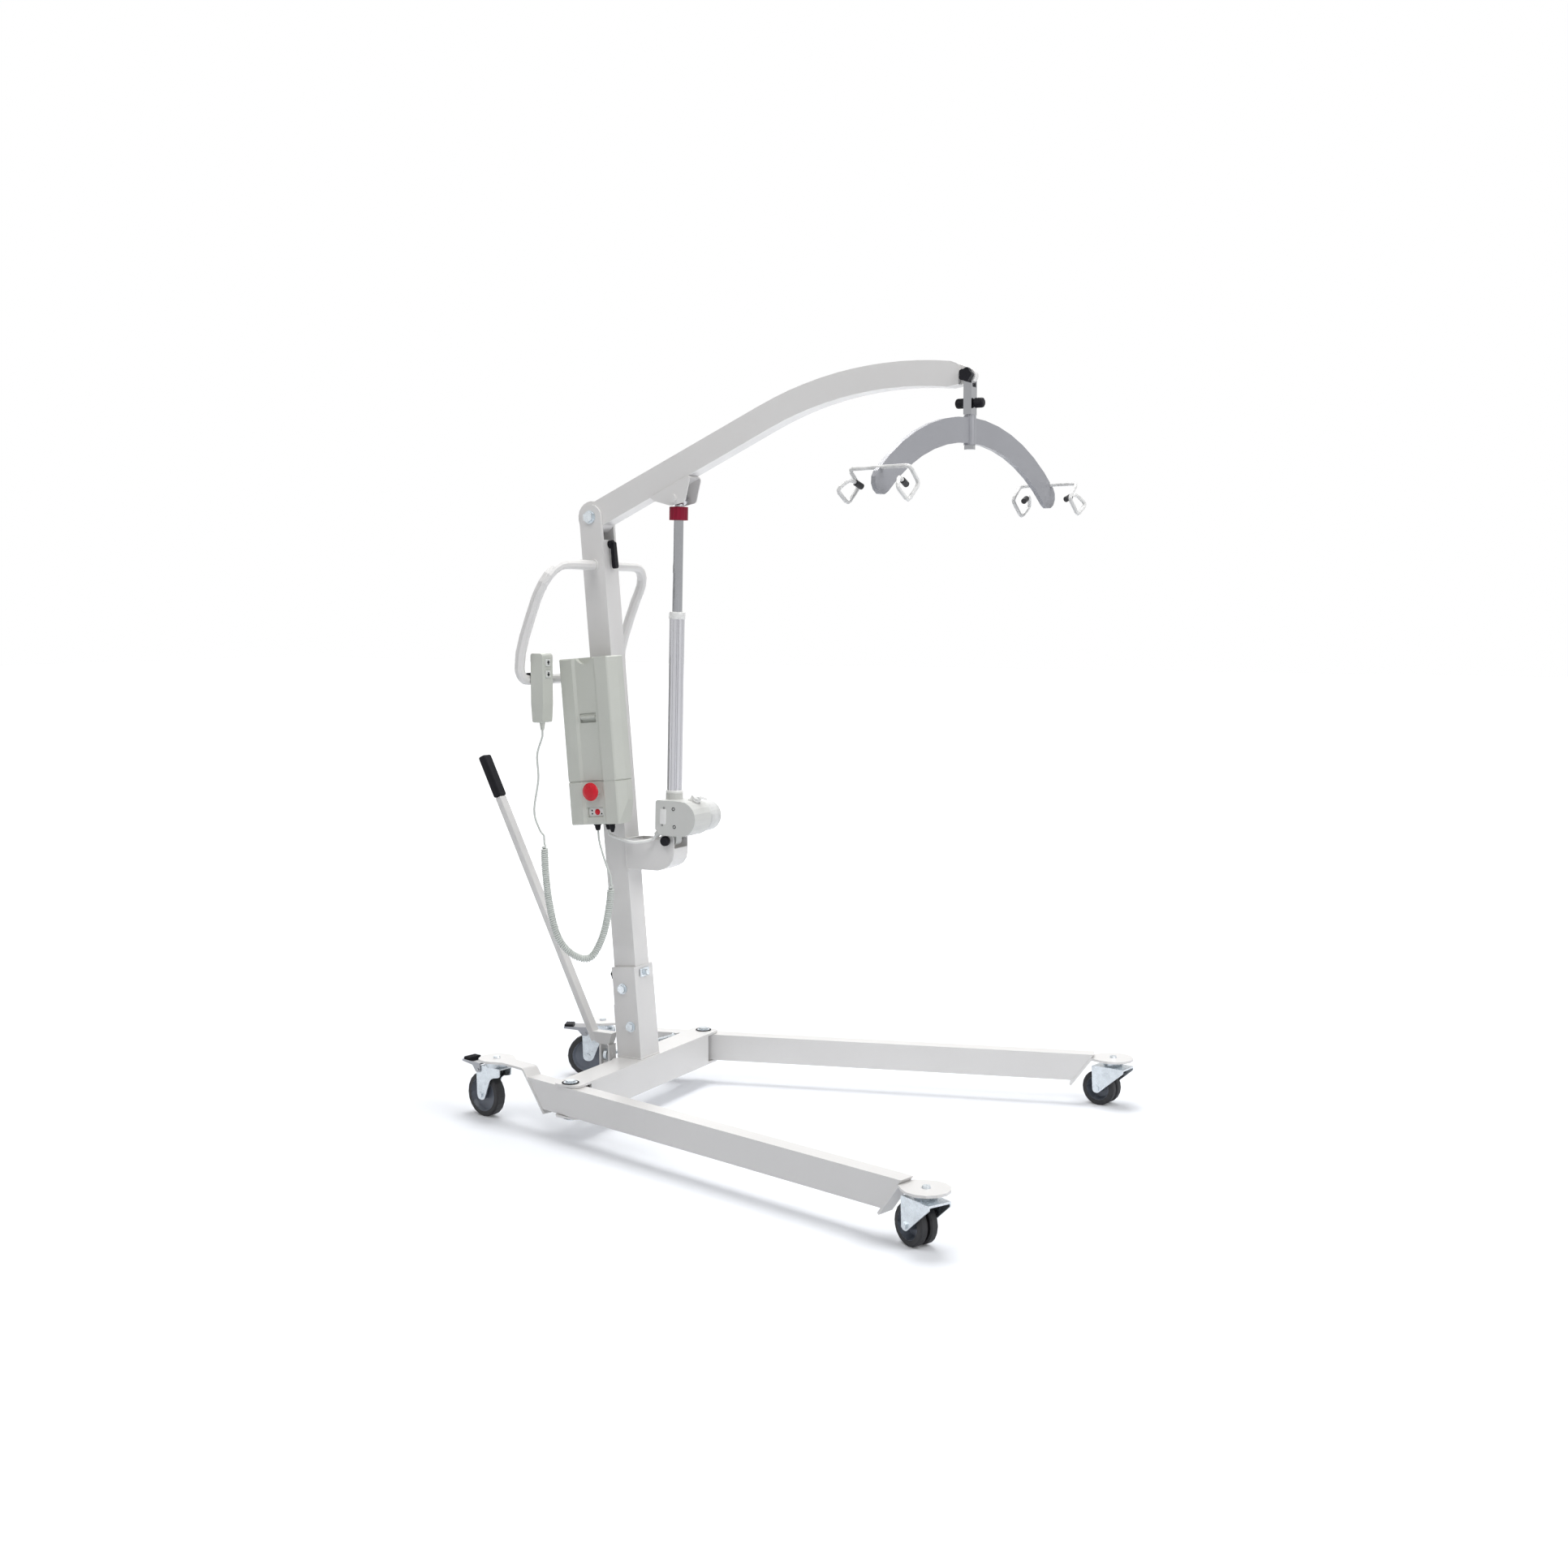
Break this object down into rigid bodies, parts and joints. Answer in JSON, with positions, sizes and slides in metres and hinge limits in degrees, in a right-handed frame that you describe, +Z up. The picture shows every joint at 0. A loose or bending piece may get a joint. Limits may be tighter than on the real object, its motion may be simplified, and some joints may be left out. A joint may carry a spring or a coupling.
{
  "type": "mobile patient lift",
  "caption": "Wheeled patient lift with spreading legs, leaning mast, arched boom on an electric actuator, and a curved spreader bar with sling hooks.",
  "frame": {"origin": "on the floor under the middle of the lift's overall box, on its centre plane", "axes": "+Z up, +X forward along the boom, +Y to the left of the person who pushes the lift"},
  "size_m": [1.4096, 1.15, 1.6196],
  "materials": {
    "coat": "light grey powder coat",
    "arch": "silver grey powder coat",
    "zinc": "bluish zinc plate",
    "chrome": "polished",
    "aluminium": "satin anodised",
    "box_plastic": "fine grained",
    "white_plastic": "smooth",
    "black_plastic": "satin",
    "wheel": "grey hub with a black tread",
    "red_button": "smooth",
    "red_collar": "knurled",
    "cord_grey": "soft cord jacket"
  },
  "bodies": {
    "base": {"cross_beam": "coat", "pivot_bolt_left": "zinc", "pivot_bolt_right": "zinc", "mast_socket": "coat", "socket_bolt_upper": "zinc", "socket_bolt_lower": "zinc", "mast_clamp": "zinc", "mast": "coat", "push_handle": "coat", "actuator_bracket": "coat", "bracket_pin": "black_plastic", "boom_pivot_bolt": "zinc", "box_bracket": "coat", "control_unit": "box_plastic", "handset_plug": "black_plastic", "actuator_plug": "black_plastic", "actuator_cable": "white_plastic", "handset_lead": "cord_grey", "curly_cord": "cord_grey", "box_lead": "cord_grey"},
    "battery": {"battery_pack": "box_plastic"},
    "latch": {"battery_latch": "box_plastic"},
    "stop": {"stop_button": "red_button"},
    "handset": {"handset_case": "box_plastic", "handset_hook": "black_plastic"},
    "up_key": {"button_up": "cord_grey"},
    "down_key": {"button_down": "cord_grey"},
    "boom_arm": {"boom": "coat", "boom_bracket": "coat", "end_pin": "black_plastic"},
    "lock": {"lock_lever": "black_plastic"},
    "actuator": {"gear_housing": "box_plastic", "motor_cover": "white_plastic", "outer_tube": "aluminium", "service_plug": "white_plastic"},
    "piston": {"piston_rod": "chrome", "rod_eye": "zinc"},
    "collar": {"lowering_collar": "red_collar"},
    "hanger": {"hanger_yoke": "chrome", "hanger_grips": "black_plastic"},
    "spreader": {"spreader_bar": "arch", "hooks_left": "coat", "hooks_right": "coat"},
    "left_leg": {"leg_left": "coat"},
    "right_leg": {"leg_right": "coat"},
    "rear_left_caster": {"rear_left_fork": "zinc"},
    "rear_right_caster": {"rear_right_fork": "zinc"},
    "front_left_caster": {"front_left_fork": "zinc"},
    "front_right_caster": {"front_right_fork": "zinc"},
    "rear_left_roller": {"rear_left_wheel": "wheel"},
    "rear_right_roller": {"rear_right_wheel": "wheel"},
    "front_left_roller": {"front_left_wheel": "wheel"},
    "front_right_roller": {"front_right_wheel": "wheel"},
    "left_brake": {"brake_pedal_left": "zinc"},
    "right_brake": {"brake_pedal_right": "zinc"},
    "lever": {"lever_crank": "zinc", "spread_lever": "coat", "lever_grip": "black_plastic"},
    "left_rod": {"tie_rod_left": "black_plastic"},
    "right_rod": {"tie_rod_right": "black_plastic"}
  },
  "joints": [
    {"name": "lever_swing", "type": "hinge", "parent": "base", "child": "lever", "pos_m": [-0.3359, 0, 0.092], "axis": [1, 0, 0], "range_deg": [-36, 0]},
    {"name": "left_leg_swing", "type": "hinge", "parent": "base", "child": "left_leg", "pos_m": [-0.2719, 0.277, 0.0885], "axis": [0, 0, 1], "range_deg": [-15.2, 0]},
    {"name": "right_leg_swing", "type": "hinge", "parent": "base", "child": "right_leg", "pos_m": [-0.2719, -0.277, 0.0885], "axis": [0, 0, 1], "range_deg": [0, 15.2]},
    {"name": "left_rod_turn", "type": "hinge", "parent": "left_leg", "child": "left_rod", "pos_m": [-0.32, 0.23284, 0.116], "axis": [0, 0, 1], "range_deg": [0, 17.6]},
    {"name": "right_rod_turn", "type": "hinge", "parent": "right_leg", "child": "right_rod", "pos_m": [-0.32, -0.23284, 0.068], "axis": [0, 0, 1], "range_deg": [-17.6, 0]},
    {"name": "rear_left_swivel", "type": "hinge", "parent": "left_leg", "child": "rear_left_caster", "pos_m": [-0.51508, 0.21093, 0.12], "axis": [0, 0, 1], "continuous": true},
    {"name": "rear_right_swivel", "type": "hinge", "parent": "right_leg", "child": "rear_right_caster", "pos_m": [-0.51508, -0.21093, 0.12], "axis": [0, 0, 1], "continuous": true},
    {"name": "front_left_swivel", "type": "hinge", "parent": "left_leg", "child": "front_left_caster", "pos_m": [0.65934, 0.53001, 0.1], "axis": [0, 0, 1], "continuous": true},
    {"name": "front_right_swivel", "type": "hinge", "parent": "right_leg", "child": "front_right_caster", "pos_m": [0.65934, -0.53001, 0.1], "axis": [0, 0, 1], "continuous": true},
    {"name": "rear_left_roll", "type": "hinge", "parent": "rear_left_caster", "child": "rear_left_roller", "pos_m": [-0.54683, 0.19619, 0.05], "axis": [0.421, -0.907, 0], "continuous": true},
    {"name": "rear_right_roll", "type": "hinge", "parent": "rear_right_caster", "child": "rear_right_roller", "pos_m": [-0.54941, -0.20407, 0.05], "axis": [-0.196, -0.9806, 0], "continuous": true},
    {"name": "front_left_roll", "type": "hinge", "parent": "front_left_caster", "child": "front_left_roller", "pos_m": [0.63181, 0.53512, 0.04], "axis": [-0.1822, -0.9833, 0], "continuous": true},
    {"name": "front_right_roll", "type": "hinge", "parent": "front_right_caster", "child": "front_right_roller", "pos_m": [0.63457, -0.51695, 0.04], "axis": [-0.4664, -0.8846, 0], "continuous": true},
    {"name": "left_brake_press", "type": "hinge", "parent": "rear_left_caster", "child": "left_brake", "pos_m": [-0.55137, 0.19409, 0.107], "axis": [0.421, -0.907, 0], "range_deg": [0, 12]},
    {"name": "right_brake_press", "type": "hinge", "parent": "rear_right_caster", "child": "right_brake", "pos_m": [-0.55431, -0.20309, 0.107], "axis": [-0.196, -0.9806, 0], "range_deg": [0, 12]},
    {"name": "boom_swing", "type": "hinge", "parent": "base", "child": "boom_arm", "pos_m": [-0.37721, 0, 1.32759], "axis": [0, -1, 0], "range_deg": [-40, 8]},
    {"name": "actuator_tilt", "type": "hinge", "parent": "base", "child": "actuator", "pos_m": [-0.1819, 0, 0.62], "axis": [0, 1, 0], "range_deg": [-1.1, 0.3]},
    {"name": "piston_stroke", "type": "slide", "parent": "actuator", "child": "piston", "axis": [0.0243, 0, 0.9997], "range_m": [-0.149, 0.03]},
    {"name": "collar_turn", "type": "hinge", "parent": "piston", "child": "collar", "pos_m": [-0.16467, 0, 1.33], "axis": [0.0243, 0, 0.9997], "continuous": true},
    {"name": "hanger_swing", "type": "hinge", "parent": "boom_arm", "child": "hanger", "pos_m": [0.5111, 0, 1.584], "axis": [0, -1, 0], "range_deg": [-20, 48]},
    {"name": "spreader_turn", "type": "hinge", "parent": "hanger", "child": "spreader", "pos_m": [0.5111, 0, 1.478], "axis": [0, 0, 1], "continuous": true},
    {"name": "lock_turn", "type": "hinge", "parent": "base", "child": "lock", "pos_m": [-0.34391, 0, 1.26812], "axis": [0.9966, 0, 0.0821], "range_deg": [-60, 60]},
    {"name": "battery_lift", "type": "slide", "parent": "base", "child": "battery", "axis": [-0.0821, 0, 0.9966], "range_m": [0, 0.12]},
    {"name": "latch_press", "type": "slide", "parent": "battery", "child": "latch", "axis": [0.0821, 0, -0.9966], "range_m": [0, 0.005], "stiffness_N_per_m": 800},
    {"name": "stop_press", "type": "slide", "parent": "base", "child": "stop", "axis": [0, 1, 0], "range_m": [0, 0.005], "stiffness_N_per_m": 1500},
    {"name": "handset_lift", "type": "slide", "parent": "base", "child": "handset", "axis": [0, 0, 1], "range_m": [0, 0.05]},
    {"name": "up_press", "type": "slide", "parent": "handset", "child": "up_key", "axis": [-1, 0, 0], "range_m": [0, 0.0015], "stiffness_N_per_m": 800},
    {"name": "down_press", "type": "slide", "parent": "handset", "child": "down_key", "axis": [-1, 0, 0], "range_m": [0, 0.0015], "stiffness_N_per_m": 800}
  ],
  "couplings": [
    {"joint": "left_leg_swing", "follows": "lever_swing", "ratio": 0.4222},
    {"joint": "right_leg_swing", "follows": "lever_swing", "ratio": -0.4222},
    {"joint": "left_rod_turn", "follows": "lever_swing", "ratio": -0.4886},
    {"joint": "right_rod_turn", "follows": "lever_swing", "ratio": 0.4886},
    {"joint": "actuator_tilt", "follows": "boom_swing", "ratio": 0.02583},
    {"joint": "piston_stroke", "follows": "boom_swing", "m_per_rad": 0.21219}
  ]
}
